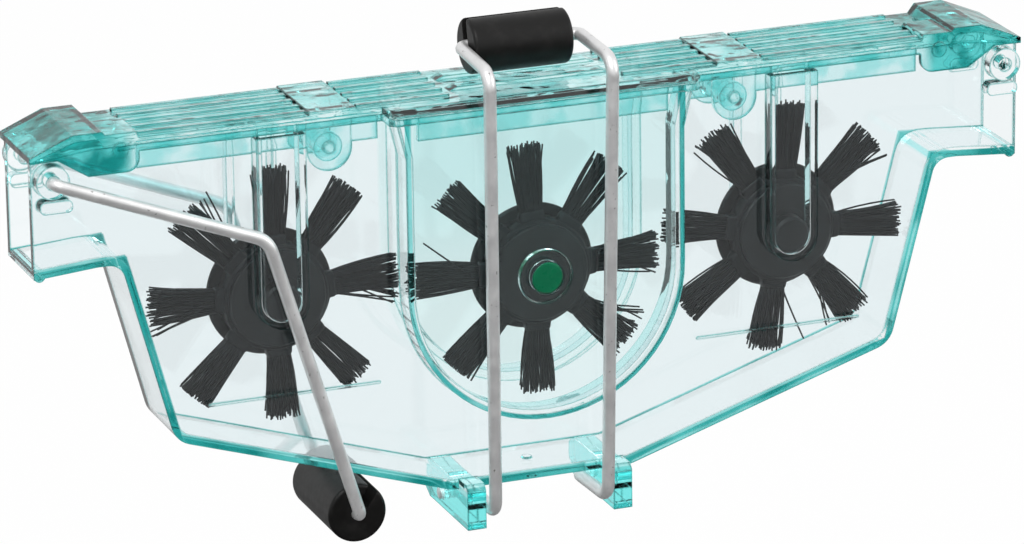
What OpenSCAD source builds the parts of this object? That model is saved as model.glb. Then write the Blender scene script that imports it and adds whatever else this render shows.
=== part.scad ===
// Clip-on chain cleaner: a clear tub that holds three spinning brushes, a ribbed lid
// with two chain rollers, a wire clamp over the lid and a swinging support arm.
// X runs along the chain, -Y is the front and Z is up, from the plane of the feet.

/* [Tub] */
// Length of the tub over its two open ends
tub_len = 240; // [220:1:280]
// Depth of the tub from its front face to its back face
tub_depth = 20; // [19:0.5:24]
// Thickness of the tub's walls and floor
wall = 1.8; // [1.4:0.1:2.2]
// Height of the rim above the standing plane
rim_h = 100.8; // [98:0.2:106]
// Height of the underside of the floor above the standing plane
foot_h = 8.3; // [7.5:0.1:10]
// Width of the flat middle of the floor
floor_w = 44; // [43:1:56]
// Distance of a lower corner from the open end beside it
corner_inset = 31.8; // [29:0.1:36]
// Height of the lower corners above the standing plane
corner_h = 29.4; // [24:0.2:34]
// Length of a wing, from the neck to its open end
wing_len = 20.3; // [18:0.2:25]
// Drop of the wing floor below the rim at the neck
neck_drop = 27.7; // [24:0.1:30]
// Further drop of the wing floor at its open end
lip_drop = 1.2; // [0.8:0.1:3]
// Drop of the rim at the open ends
rim_drop = 1.5; // [1:0.1:2.5]

/* [Middle chamber] */
// Outer width of the round-bottomed chamber on the front
chamber_w = 67.6; // [64:0.2:72]
// Distance that the chamber stands out from the front wall
chamber_out = 6; // [5:0.1:6.2]
// Widening of each side of the chamber at the rim
chamber_flare = 2.5; // [1:0.1:3.5]
// Height over which the chamber widens
flare_h = 10; // [6:0.5:14]
// Width of the round-bottomed recess in the back wall
recess_w = 56.6; // [50:0.2:60]
// Depth of the recess in the back wall
recess_depth = 6.2; // [4:0.1:7]

/* [Brush channels] */
// Width inside each channel that a side axle drops into
channel_w = 9; // [8:0.1:10]
// Distance that a channel stands out from the wall
channel_out = 3.1; // [2.6:0.1:3.2]
// Wall of a channel
channel_wall = 1.4; // [1:0.1:1.6]

/* [Brushes] */
// Distance from the middle brush to each side brush, as a share of the tub's length
brush_pitch_share = 0.26; // [0.258:0.001:0.266]
// Height of the side brushes' axis above the standing plane
side_axis_h = 59.6; // [58:0.1:61]
// Height of the middle brush's axis above the standing plane
middle_axis_h = 58.6; // [57:0.1:60]
// Diameter over the bristle tips
brush_d = 61; // [57:0.5:61]
// Plane of the side brushes' tufts, in front of the middle of the tub
side_tuft_y = 4.5; // [4.4:0.1:4.6]
// Plane of the middle brush's tufts, in front of the middle of the tub
middle_tuft_y = 7.9; // [7:0.1:8.5]
// Diameter of the back flange
flange_d = 30; // [27:0.2:31]
// Thickness of the back flange
flange_t = 1.4; // [1:0.1:1.8]
// Diameter of the front cap
cap_d = 23; // [21:0.2:24]
// Thickness of the front cap
cap_t = 1.2; // [1:0.1:1.4]
// Diameter of the ring that holds the bristles
ring_d = 25; // [24:0.2:26]
// Thickness of the ring that holds the bristles
ring_t = 4.9; // [4.6:0.1:5]
// Diameter of the hub's core inside the ring
core_d = 14; // [13:0.2:15]
// Diameter of the hub's neck behind the flange
neck_d = 12.6; // [11:0.2:13]

/* [Bristles] */
// Strands side by side across a tuft
strands_across = 6; // [5:1:6]
// Rows of strands through a tuft
strand_rows = 3; // [2:1:3]
// Diameter of a strand at its root
strand_d = 0.66; // [0.5:0.02:0.7]
// Width of a tuft at its root
tuft_root_w = 5.2; // [4.2:0.1:5.6]
// Width of a tuft at its tip
tuft_tip_w = 8.2; // [7:0.1:9]
// Thickness of a tuft at its root
tuft_root_t = 2.4; // [2.2:0.1:3]
// Thickness of a tuft at its tip
tuft_tip_t = 3.6; // [3:0.1:4]

/* [Axles] */
// Running clearance between a turning piece and its seat, on the radius
run_clear = 0.08; // [0.03:0.01:0.1]
// Clearance between a pressed pin and its hole, on the radius
press_clear = 0.02; // [0.01:0.01:0.03]
// Clearance between the end of a piece and the wall that locates it
end_clear = 0.3; // [0.2:0.05:0.4]
// Diameter of the middle axle
middle_axle_d = 7.6; // [6:0.1:8]
// Outer diameter of the rings that hold the middle axle
seat_ring_d = 12.8; // [11:0.2:14]
// Height of the rings that hold the middle axle
seat_ring_t = 1.6; // [1:0.1:2]
// Chamfer at the ends of the axles
axle_chamfer = 0.6; // [0.3:0.1:1]

/* [Lid] */
// Thickness of the lid's top
lid_t = 1.8; // [1.4:0.1:2.2]
// Thickness of the lid's skirt
skirt_t = 1.3; // [1:0.1:1.5]
// Side clearance between the lid and the tub
lid_clear = 0.2; // [0.15:0.05:0.3]
// Depth of the skirt below the rim
skirt_drop = 1.35; // [1:0.05:1.6]
// Depth of the inner lip below the rim
lip_depth = 6.2; // [4:0.2:7]
// Thickness of the inner lip
lip_t = 1.2; // [1:0.1:1.4]
// Distance that each tip of the lid stands out past the tub's open end
lid_overhang = 0.5; // [0:0.1:2]
// Height of the raised ends above the lid's top
dome_rise = 2.2; // [1:0.1:3]
// Distance of a raised end's outer edge from the tip of the lid
dome_inset = 10; // [8:0.5:13]
// Length of the flat top of a raised end
dome_len = 7; // [5:0.5:9]
// Depth of the side clips below the rim
clip_drop = 5.9; // [4:0.1:6.5]
// Distance of a side clip's inner edge from the open end beside it
clip_inset = 25; // [24:0.5:28]
// Length of a side clip along its lower edge
clip_len = 12; // [9:0.5:12.5]
// Height of the long ridges on the lid
ridge_h = 0.8; // [0.5:0.1:1]
// Width of a long ridge
ridge_w = 1.5; // [1:0.1:2]

/* [Chain rollers] */
// Distance from the middle to each chain roller, as a share of the tub's length
roller_share = 0.206; // [0.2:0.001:0.21]
// Drop of the chain rollers' axis below the rim
roller_drop = 7.1; // [6.6:0.1:7.2]
// Diameter of a chain roller
chain_roller_d = 6.8; // [6:0.1:7]
// Diameter of the pin in a chain roller
chain_pin_d = 2.5; // [2:0.1:3]
// Width of the ears that hold a chain roller
ear_w = 10.8; // [10:0.1:11.2]
// Thickness of an ear
ear_t = 1.4; // [1.2:0.1:1.6]

/* [Wire and rollers] */
// Diameter of the steel wire
wire_d = 3; // [2.6:0.1:3.1]
// Diameter of the clamp's roller
clamp_roller_d = 13; // [11.6:0.1:13]
// Length of the clamp's roller
clamp_roller_len = 24; // [22:0.5:24.5]
// Diameter of the arm's roller
arm_roller_d = 14; // [12:0.1:14]
// Length of the arm's roller
arm_roller_len = 26; // [23:0.2:26.2]
// Width of the slot along a roller
slot_w = 2.8; // [2:0.1:2.9]

/* [Clamp] */
// Height of the clamp's pivot above the standing plane
pivot_h = 3.8; // [3.6:0.1:4.6]
// Distance of the clamp's pivot behind the middle of the tub
pivot_y = 1; // [0:0.1:1.5]
// Distance between the clamp's legs at the bottom
leg_span_low = 27.8; // [27:0.1:28]
// Distance between the clamp's legs at the top
leg_span_high = 29.8; // [29:0.1:31]
// Clearance between a leg and the lower edge of the chamber, where they are closest
leg_clear = 0.15; // [0.1:0.05:0.4]
// Forward lean of the legs over their height
leg_lean = 2.75; // [2.7:0.05:4]
// Height of the clamp's roller axis above the rim
clamp_roller_rise = 10.1; // [10:0.1:10.8]
// Distance of the clamp's roller axis behind the middle of the tub
clamp_roller_y = 0.4; // [0:0.1:1]
// Distance of the clamp's roller to the left of the middle
clamp_roller_left = 1; // [-1:0.1:1]

/* [Support arm] */
// Distance of a boss from the open end beside it
boss_inset = 4.3; // [4:0.1:6]
// Drop of the boss axis below the rim
boss_drop = 5.8; // [5.6:0.1:7]
// Outer diameter of a boss
boss_d = 7.8; // [7:0.1:8.2]
// Distance that a boss stands out from the wall
boss_out = 3.2; // [2.8:0.1:3.6]
// Sideways run of the arm's first stretch, as a share of the tub's length
arm_run_share = 0.204; // [0.196:0.001:0.212]
// Drop of the arm's elbow below the boss axis
arm_run_z = 19; // [17:0.2:21]
// Further sideways run to the arm's roller, as a share of the tub's length
arm_end_share = 0.0858; // [0.08:0.0002:0.09]
// Height of the arm's roller axis above the standing plane
arm_roller_h = 7.05; // [7:0.05:7.4]

/* [Hidden] */

// One overrun serves all cuts
over = 1;
round_fn = 64;
wire_sides = 16;
clear_plastic = [0.62, 0.90, 0.87, 0.45];
black_plastic = [0.10, 0.11, 0.12];
black_rubber = [0.07, 0.07, 0.07];
green_plastic = [0.05, 0.50, 0.22];
zinc_wire = [0.62, 0.62, 0.63];

// Values worked out from the sizes above, seen from the middle of the tub
half_depth = tub_depth / 2;
inner_y = half_depth - wall;
wire_r = wire_d / 2;
bore_r = wire_r + run_clear;
chamber_r = chamber_w / 2;
chamber_y = half_depth + chamber_out;
recess_r = recess_w / 2;
recess_face_y = half_depth - recess_depth - wall;
skirt_y = half_depth + lid_clear + skirt_t;
rim_gap = 0.1;
lid_z = rim_h + rim_gap;
lid_top = lid_z + lid_t;
boss_x = tub_len / 2 - boss_inset;
boss_z = rim_h - boss_drop;
boss_y = half_depth + boss_out;
channel_r = channel_w / 2;
channel_y = half_depth + channel_out;
roller_x = tub_len * roller_share;
brush_pitch = tub_len * brush_pitch_share;
clip_x = tub_len / 2 - clip_inset;
lid_tip_x = tub_len / 2 + lid_overhang;
dome_x = lid_tip_x - dome_inset;
roller_z = rim_h - roller_drop;

// The clamp's legs just clear the chamber's lower edge, and lean forward above it
leg_top_drop = 1;
leg_edge_share = 0.2255;
leg_edge_y = chamber_y + leg_clear + wire_r;
clamp_top = rim_h + clamp_roller_rise - leg_top_drop;
leg_low_y = leg_edge_y - leg_lean * leg_edge_share;
leg_high_y = leg_low_y + leg_lean;

// The arm's legs run just outside the bosses, and its wire is the furthest back
arm_gap = 0.4;
arm_y = boss_y + arm_gap + wire_r;

// The origin is below the middle of the whole object, so the tub sits a little behind it
front_reach = leg_high_y + wire_r;
back_reach = arm_y + wire_r;
tub_y = (front_reach - back_reach) / 2;

function unit(v) = v / norm(v);
function flip_x(p) = [-p[0], p[1]];
function mirrored(pts) = concat(pts, [for (i = [len(pts) - 1:-1:0]) flip_x(pts[i])]);

// Points of an arc about c
function arc(c, r, a0, a1, n) =
    [for (i = [0:n]) c + r * [cos(a0 + (a1 - a0) * i / n), sin(a0 + (a1 - a0) * i / n)]];

// A corner between two edges, rounded by an arc that touches both
function fillet(p0, p1, p2, r, n) =
    let (a = unit(p0 - p1), b = unit(p2 - p1), half = acos(a * b) / 2)
    r == 0 ? [p1] :
    let (c = p1 + unit(a + b) * r / sin(half), s = p1 + a * r / tan(half) - c,
        side = sign(a[0] * b[1] - a[1] * b[0]), turn = (180 - 2 * half) * -side,
        a0 = atan2(s[1], s[0]))
    arc(c, r, a0, a0 + turn, n);

// A closed outline with one radius for each of its corners
function rounded(pts, radii, n = 6) =
    let (m = len(pts))
    [for (i = [0:m - 1])
        each fillet(pts[(i + m - 1) % m], pts[i], pts[(i + 1) % m], radii[i], n)];

// A line moved to its left by t, with its corners kept sharp
function left_of(a, b) = let (d = unit(b - a)) [-d[1], d[0]];
function shifted(pts, t) =
    [for (i = [0:len(pts) - 1])
        let (n0 = left_of(pts[max(i - 1, 0)], pts[max(i, 1)]),
            n1 = left_of(pts[min(i, len(pts) - 2)], pts[min(i + 1, len(pts) - 1)]),
            m = unit(n0 + n1))
        pts[i] + m * t / (m * n0)];

// A plate with a front-view outline, from y0 back to y1
module slab(y0, y1) {
    translate([0, y1, 0]) rotate([90, 0, 0]) linear_extrude(y1 - y0) children();
}

// The same on the front and on the back
module front_and_back() {
    children();
    mirror([0, 1, 0]) children();
}

// The same on the right and on the left
module right_and_left() {
    children();
    mirror([1, 0, 0]) children();
}

// A round bar along Y, from y0 back to y1
module bar_y(x, z, r, y0, y1) {
    translate([x, y1, z]) rotate([90, 0, 0]) cylinder(h = y1 - y0, r = r, $fn = round_fn);
}

// Moves a piece from the tub's own frame into the part's frame
module place() {
    translate([0, tub_y, 0]) children();
}

// Points of a round bend at the corner p1, from its first edge to its second
bend_steps = 5;
function bend_points(p0, p1, p2, r) =
    let (d1 = unit(p1 - p0), d2 = unit(p2 - p1), turn = acos(d1 * d2),
        inward = unit(d2 - d1 * (d1 * d2)),
        c = p1 - d1 * r * tan(turn / 2) + inward * r)
    [for (i = [0:bend_steps])
        let (a = turn * i / bend_steps) c + r * (d1 * sin(a) - inward * cos(a))];

// The centre line of a wire through a list of points, with a bend at each inner one
function wire_line(pts, bends) =
    let (last = len(pts) - 1)
    concat([pts[0]],
        [for (i = [1:last - 1]) each bend_points(pts[i - 1], pts[i], pts[i + 1], bends[i])],
        [pts[last]]);

// A round tube along a line: each ring is square to the line and carries on from the last
function square_to(v, d) = unit(v - d * (v * d));
module wire(pts, bends, r) {
    line = wire_line(pts, bends);
    n = len(line);
    dirs = [for (i = [0:n - 1])
        unit(unit(line[min(i + 1, n - 1)] - line[min(i, n - 2)])
            + unit(line[max(i, 1)] - line[max(i - 1, 0)]))];
    across = [for (i = 0, u = square_to([1, 1, 1], dirs[0]); i < n;
        i = i + 1, u = i < n ? square_to(u, dirs[i]) : u) u];
    points = [for (i = [0:n - 1]) for (k = [0:wire_sides - 1])
        let (a = k * 360 / wire_sides)
        line[i] + r * (across[i] * cos(a) + cross(dirs[i], across[i]) * sin(a))];
    walls = [for (i = [0:n - 2]) for (k = [0:wire_sides - 1])
        let (m = (k + 1) % wire_sides, a = i * wire_sides, b = a + wire_sides)
        each [[a + k, b + k, b + m], [a + k, b + m, a + m]]];
    ends = [[for (k = [0:wire_sides - 1]) k],
        [for (k = [wire_sides - 1:-1:0]) (n - 1) * wire_sides + k]];
    polyhedron(points = points, faces = concat(ends, walls));
}

// The underside of the tub from its right end to its left end
wing_len_share = 0.27;
underside = let (end_x = tub_len / 2, neck_x = end_x - wing_len, neck_z = rim_h - neck_drop)
    mirrored([[end_x, neck_z - lip_drop],
        [neck_x + (end_x - neck_x) * wing_len_share, neck_z],
        [neck_x, neck_z], [end_x - corner_inset, corner_h], [floor_w / 2, foot_h]]);
arch_r = 14;
neck_r = 4;
corner_r = 6;
floor_r = 8;
underside_r = [0, arch_r, neck_r, corner_r, floor_r, floor_r, corner_r, neck_r, arch_r, 0];
underside_side = [0, 1, 1, -1, -1, -1, -1, 1, 1, 0];
rim_slope_len = 14;

tub_outline = rounded(concat(underside,
    [[-tub_len / 2, rim_h - rim_drop], [rim_slope_len - tub_len / 2, rim_h],
        [tub_len / 2 - rim_slope_len, rim_h], [tub_len / 2, rim_h - rim_drop]]),
    concat(underside_r, [0, 0, 0, 0]));

inner_line = let (s = shifted(underside, -wall), e = len(s) - 1,
        run = unit(s[0] - s[1]) * over)
    concat([s[0] + run], [for (i = [1:e - 1]) s[i]], [flip_x(s[0] + run)]);
inner_outline = rounded(concat(inner_line,
    [[-tub_len / 2 - over, rim_h + over], [tub_len / 2 + over, rim_h + over]]),
    concat([for (i = [0:len(underside) - 1]) underside_r[i] + underside_side[i] * wall],
        [0, 0]));

// A round-bottomed outline that is open towards the rim and may widen there
chamber_steps = 32;
function chamber_line(r, top, flare) =
    concat([[r + flare, top], [r, rim_h - flare_h]],
        arc([0, middle_axis_h], r, 0, -180, chamber_steps),
        [[-r, rim_h - flare_h], [-r - flare, top]]);

// The outline of a channel for a side axle, up to a given height
channel_steps = 16;
function channel_line(r, top) =
    concat([[brush_pitch + r, top]], arc([brush_pitch, side_axis_h], r, 0, -180, channel_steps),
        [[brush_pitch - r, top]]);

// A foot seen from the side: flat below, with a horn in front of the tub
foot_t = 4.55;
foot_x = 15.8;
foot_front = 15.8;
foot_back = 13.6;
foot_heel = 2.2;
foot_heel_len = 4;
horn_rise = 2.4;
horn_chamfer = 1.3;
foot_back_h = 6;
module foot() {
    bed = foot_h + wall / 2;
    translate([foot_x, 0, 0]) rotate([90, 0, 90]) linear_extrude(foot_t) difference() {
        polygon([[-foot_front, 0], [foot_back - foot_heel_len, 0], [foot_back, foot_heel],
            [foot_back, foot_back_h], [half_depth, bed], [-inner_y, bed],
            [-half_depth, foot_h + horn_rise],
            [horn_chamfer - foot_front, foot_h + horn_rise],
            [-foot_front, foot_h + horn_rise - horn_chamfer]]);
        translate([pivot_y, pivot_h]) circle(r = bore_r, $fn = round_fn);
    }
}

// A boss for the arm with its rest bar below
rest_w = 7.6;
rest_h = 2.9;
rest_drop = 4.3;
rest_shift = 0.6;
rest_r = 1.2;
module boss() {
    bar_y(boss_x, boss_z, boss_d / 2, -boss_y, -inner_y);
    x0 = boss_x - rest_w / 2 - rest_shift;
    z0 = boss_z - rest_drop - rest_h;
    slab(-boss_y, -inner_y)
        polygon(rounded([[x0, z0], [x0 + rest_w, z0], [x0 + rest_w, z0 + rest_h],
            [x0, z0 + rest_h]], [rest_r, rest_r, rest_r, rest_r]));
}

// A bare level line on the front wall, one on each side
level_w = 0.5;
level_out = 0.25;
level_drop = 64;
level_x0 = 39;
level_x1 = 80;
module level_line() {
    z0 = rim_h - level_drop;
    slab(-half_depth - level_out, -inner_y - level_out)
        polygon([[level_x0, z0], [level_x1, z0], [level_x1, z0 + level_w],
            [level_x0, z0 + level_w]]);
}

// A round bead below the floor at each open end
bead_r = 1.3;
bead_out = 0.6;
module end_bead() {
    bar_y(tub_len / 2 - bead_r, rim_h - neck_drop - lip_drop + bead_r - bead_out, bead_r,
        -half_depth, half_depth);
}

gate_mark_r = 1.2;
gate_mark_h = 0.4;
channel_gap = 0.25;

module tub() {
    channel_top = rim_h - skirt_drop - channel_gap;
    color(clear_plastic) place() difference() {
        union() {
            difference() {
                union() {
                    slab(-half_depth, half_depth) polygon(tub_outline);
                    slab(-chamber_y, -inner_y)
                        polygon(chamber_line(chamber_r, rim_h, chamber_flare));
                    right_and_left() front_and_back() {
                        slab(-channel_y, -inner_y)
                            polygon(channel_line(channel_r + channel_wall, channel_top));
                        boss();
                    }
                    right_and_left() foot();
                    right_and_left() end_bead();
                    right_and_left() level_line();
                }
                slab(-inner_y, inner_y) polygon(inner_outline);
                slab(wall - chamber_y, over - inner_y)
                    polygon(chamber_line(chamber_r - wall, rim_h + over, chamber_flare));
                right_and_left() front_and_back()
                    slab(channel_wall - channel_y, over - inner_y)
                        polygon(channel_line(channel_r, rim_h + over));
            }
            slab(recess_face_y, half_depth)
                polygon(chamber_line(recess_r + wall, rim_h, 0));
            bar_y(0, middle_axis_h, seat_ring_d / 2, -chamber_y, wall - chamber_y + seat_ring_t);
            bar_y(0, middle_axis_h, seat_ring_d / 2, recess_face_y - seat_ring_t,
                recess_face_y + wall);
            translate([0, 0, foot_h + wall - gate_mark_h])
                cylinder(h = gate_mark_h * 2, r = gate_mark_r, $fn = round_fn);
        }
        slab(recess_face_y + wall, half_depth + over)
            polygon(chamber_line(recess_r, rim_h + over, 0));
        bar_y(0, middle_axis_h, middle_axle_d / 2 + press_clear, -chamber_y - over,
            recess_face_y);
        right_and_left() front_and_back()
            bar_y(boss_x, boss_z, bore_r, -boss_y - over, over - inner_y);
    }
}

// The lid's outline from the front, from its right tip over the top to the left tip
tip_rise = 0.2;
tip_t = 1.4;
dome_ramp = 1.7;
lid_end_line = [[lid_tip_x, lid_z - tip_rise], [dome_x, lid_top + dome_rise],
    [dome_x - dome_len, lid_top + dome_rise],
    [dome_x - dome_len - dome_ramp, lid_top]];
lid_top_line = mirrored(lid_end_line);
lid_low_line = mirrored([[lid_tip_x, lid_z - tip_rise - tip_t],
    [dome_x - lid_t / 2, lid_top + dome_rise - lid_t],
    [dome_x - dome_len + lid_t / 2, lid_top + dome_rise - lid_t],
    [dome_x - dome_len - dome_ramp + lid_t / 2, lid_z]]);

// One side of the skirt, with the clip that hangs below it
clip_slope_x = 7;
clip_slope_end = 1.4;
clip_corner_r = 3;
function skirt_line(x0) =
    let (tip_z = lid_z - tip_rise - tip_t, low = rim_h - clip_drop)
    rounded(concat([[x0, rim_h - skirt_drop], [clip_x, rim_h - skirt_drop], [clip_x, low],
        [clip_x + clip_len, low], [clip_x + clip_len + clip_slope_x, rim_h - clip_slope_end],
        [lid_tip_x, tip_z]], lid_end_line, [[x0, lid_top]]),
        [0, 0, clip_corner_r, 0, 0, 0, 0, 0, 0, 0, 0], 5);

// The part of the lid over the chamber, seen from above
hood_x = chamber_r + chamber_flare + lid_clear;
hood_y = chamber_y + lid_clear;
hood_corner = 1.5;
hood_edge_w = 3;
hood_edge_h = 1.2;
module hood() {
    x1 = hood_x + skirt_t;
    y1 = hood_y + skirt_t;
    z0 = rim_h - skirt_drop;
    difference() {
        translate([0, 0, z0]) linear_extrude(lid_top - z0)
            polygon([[-x1, -half_depth], [-x1, hood_corner - y1], [hood_corner - x1, -y1],
                [x1 - hood_corner, -y1], [x1, hood_corner - y1], [x1, -half_depth]]);
        translate([-hood_x, -hood_y, z0 - over]) cube([2 * hood_x, hood_y, lid_z - z0 + over]);
        translate([-x1 - over, 0, 0]) rotate([90, 0, 90]) linear_extrude(2 * (x1 + over))
            polygon([[-y1 - over, lid_top + over], [hood_edge_w - y1, lid_top + over],
                [hood_edge_w - y1, lid_top], [-y1, lid_top - hood_edge_h],
                [-y1 - over, lid_top - hood_edge_h]]);
    }
}

// Long ridges along the lid, and bars across it beside the clips and the chain rollers
ridge_y_shares = [-0.82, -0.41, 0, 0.41, 0.82];
ridge_gap = 0.6;
block_w = 12;
block_h = 0.8;
block_chamfer = 0.6;
end_block_w = 9;
end_block_h = 1.4;
cradle_x = 20.5;
cradle_h = 0.9;
cradle_w = 3.2;
cradle_ramp = 3;
cradle_pitch = 9.2;
sink = 0.4;
module ridge(x0, x1, y) {
    translate([x0, y - ridge_w / 2, lid_top - sink]) cube([x1 - x0, ridge_w, ridge_h + sink]);
}
module block(x, w, h, y0, y1) {
    slab(y0, y1)
        polygon([[x - w / 2, lid_top - sink], [x + w / 2, lid_top - sink],
            [x + w / 2 - block_chamfer, lid_top + h],
            [x - w / 2 + block_chamfer, lid_top + h]]);
}
module cradle_rib(y) {
    slab(y - cradle_w / 2, y + cradle_w / 2)
        polygon([[-cradle_x, lid_top - sink], [cradle_x, lid_top - sink],
            [cradle_x - cradle_ramp, lid_top + cradle_h],
            [cradle_ramp - cradle_x, lid_top + cradle_h]]);
}

// Ears that hang from the lid and hold a chain roller's pin
ear_y = inner_y - end_clear;
module ears() {
    z0 = roller_z;
    front_and_back() slab(-ear_y, ear_t - ear_y) union() {
        translate([roller_x, z0]) circle(r = ear_w / 2, $fn = round_fn);
        translate([roller_x - ear_w / 2, z0]) square([ear_w, lid_z - z0 + sink]);
    }
}

// The lip that fits inside the tub's walls
lip_end_gap = 1.6;
lip_clear = 0.3;
module lip(x0, x1, y) {
    translate([x0, -y, rim_h - lip_depth]) cube([x1 - x0, lip_t, lid_z + sink - rim_h + lip_depth]);
}

stud_r = 1.8;
stud_out = 0.5;
stud_drop = 0.6;
stud_shift = 4.5;
module lid() {
    lip_y = inner_y - lip_clear;
    hood_side = hood_x + skirt_t / 2;
    front_lip_x = chamber_r - wall - lip_end_gap;
    back_lip_x = recess_r + wall + lip_end_gap;
    color(clear_plastic) place() difference() {
        union() {
            slab(-skirt_y, skirt_y) polygon(concat(lid_top_line,
                [for (i = [len(lid_low_line) - 1:-1:0]) lid_low_line[i]]));
            right_and_left() slab(-skirt_y, skirt_t - skirt_y) polygon(skirt_line(hood_side));
            right_and_left() slab(skirt_y - skirt_t, skirt_y) polygon(skirt_line(0));
            hood();
            right_and_left() {
                ears();
                lip(chamber_r + chamber_flare + lip_end_gap, clip_x, lip_y);
                translate([0, -lip_t, 0]) lip(back_lip_x, clip_x, -lip_y);
                for (s = ridge_y_shares) {
                    ridge(cradle_x + ridge_gap, roller_x - block_w / 2, skirt_y * s);
                    ridge(roller_x + block_w / 2, clip_x, skirt_y * s);
                }
                block(roller_x, block_w, block_h, -skirt_y, skirt_y);
                block(clip_x + end_block_w / 2, end_block_w, end_block_h, -skirt_y, 0);
                bar_y(clip_x + stud_shift, rim_h - stud_drop, stud_r, -skirt_y - stud_out,
                    skirt_t / 2 - skirt_y);
            }
            lip(-front_lip_x, front_lip_x, chamber_y - wall - lip_clear);
            cradle_rib(clamp_roller_y - cradle_pitch / 2);
            cradle_rib(clamp_roller_y + cradle_pitch / 2);
        }
        right_and_left() bar_y(roller_x, roller_z, chain_pin_d / 2 + press_clear,
            -half_depth, half_depth);
    }
}

// A chain roller: a spool with two rims, on its own pin
spool_rim = 1.6;
spool_waist = 0.5;
module chain_roller(side) {
    half = ear_y - ear_t - end_clear / 2;
    r = chain_roller_d / 2;
    b = chain_pin_d / 2 + run_clear;
    color(clear_plastic) place() translate([side * roller_x, 0, roller_z]) rotate([90, 0, 0])
        rotate_extrude($fn = round_fn)
            polygon([[b, -half], [r, -half], [r, spool_rim - half],
                [r - spool_waist, 2 * spool_rim - half], [r - spool_waist, half - 2 * spool_rim],
                [r, half - spool_rim], [r, half], [b, half]]);
}

module roller_pin(side) {
    color(clear_plastic) place()
        bar_y(side * roller_x, roller_z, chain_pin_d / 2, -ear_y, ear_y);
}

// The hub of a brush: a back flange, a core inside the bristle ring and a neck behind
module brush_hub(x, z, y, bore, neck_end) {
    back = ring_t / 2 + ring_shift;
    front = -ring_t / 2 + ring_shift;
    rim = flange_t * rim_share;
    color(black_plastic) place() translate([x, -y, z]) rotate([-90, 0, 0])
        rotate_extrude($fn = round_fn)
            polygon([[bore, front], [core_d / 2, front], [core_d / 2, back],
                [flange_d / 2 - rim, back], [flange_d / 2, back + rim],
                [flange_d / 2, back + flange_t - rim], [flange_d / 2 - rim, back + flange_t],
                [neck_d / 2, back + flange_t], [neck_d / 2, neck_end + y],
                [bore, neck_end + y]]);
}
ring_shift = 0.35;
rim_share = 0.3;

// The cap in front of the bristle ring, with a short boss
cap_boss_r = 5.8;
module brush_cap(x, z, y, bore, boss_end) {
    back = -ring_t / 2 + ring_shift;
    front = back - cap_t;
    rim = cap_t * rim_share;
    color(black_plastic) place() translate([x, -y, z]) rotate([-90, 0, 0])
        rotate_extrude($fn = round_fn)
            polygon([[bore, boss_end + y], [cap_boss_r, boss_end + y], [cap_boss_r, front],
                [cap_d / 2 - rim, front], [cap_d / 2, front + rim], [cap_d / 2, back],
                [bore, back]]);
}

// Tufts of straight strands that spread from sockets on the ring, none crossing another
root_sink = 0.6;
socket_rise = 2;
socket_edge = 0.5;
ring_fn = 24;
strand_taper_share = 0.8;
ragged_share = 0.07;
ragged_step = 137;
sway_share = 0.22;
sides = 3;
function ragged(k) = 1 - ragged_share * (1 + sin(k * ragged_step)) / 2;
function sway(k) = sway_share * sin(k * (ragged_step + sides));

// One strand of three sides from point a to point b
function strand_points(a, b, r) =
    let (d = unit(b - a), u = unit(cross(d, [0, 1, 0])), v = cross(d, u))
    [for (end = [0, 1]) for (i = [0:sides - 1])
        let (p = end == 0 ? a : b, w = end == 0 ? r : r * strand_taper_share)
        p + w * (u * cos(i * 360 / sides) + v * sin(i * 360 / sides))];
strand_faces = [[0, 1, 2], [5, 4, 3], [0, 3, 1], [1, 3, 4], [1, 4, 2], [2, 4, 5],
    [2, 5, 0], [0, 5, 3]];

// The socket that a tuft is set in, which tapers outwards from the ring
module socket(w, t, z0) {
    hull() {
        translate([-w / 2 - socket_edge, -t / 2 - socket_edge, z0 - socket_rise])
            cube([w + 2 * socket_edge, t + 2 * socket_edge, socket_rise]);
        translate([-w / 2, -t / 2, z0]) cube([w, t, socket_rise]);
    }
}

module tuft(angle, seed) {
    root = ring_d / 2 + socket_rise - root_sink;
    pitch_share = 1 / strands_across;
    rotate([0, 90 - angle, 0]) {
        socket(tuft_root_w, tuft_root_t, ring_d / 2);
        for (j = [0:strand_rows - 1]) for (i = [0:strands_across - 1 - j % 2]) {
            k = seed + i * strand_rows + j;
            across = (i + (1 + j % 2) / 2) * pitch_share - 1 / 2;
            deep = (j + 1 / 2) / strand_rows - 1 / 2;
            tip_across = across + pitch_share * sway(k);
            a = [across * tuft_root_w, deep * tuft_root_t, root];
            b = [tip_across * tuft_tip_w, deep * tuft_tip_t,
                sqrt(pow(brush_d / 2, 2) - pow(tip_across * tuft_tip_w, 2)) * ragged(k)];
            polyhedron(points = strand_points(a, b, strand_d / 2), faces = strand_faces);
        }
    }
}

module bristles(x, z, y, angles) {
    bore = (core_d / 2 + press_clear) / cos(180 / ring_fn);
    color(black_plastic) place() translate([x, -y, z]) {
        rotate([-90, 0, 0]) translate([0, 0, ring_shift - ring_t / 2])
            rotate_extrude($fn = ring_fn)
                polygon([[bore, 0], [ring_d / 2, 0], [ring_d / 2, ring_t], [bore, ring_t]]);
        for (i = [0:len(angles) - 1])
            tuft(angles[i], i * strands_across * strand_rows);
    }
}

// Directions of the eight tufts, anticlockwise from the right
left_angles = [90, 52, 4, -48, -87, -132, 178, 135];
middle_angles = [95, 52, 2, -43, -90, -133, 178, 136];
right_angles = [124, 87, 42, -3, -51, -99, -146, 172];

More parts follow.
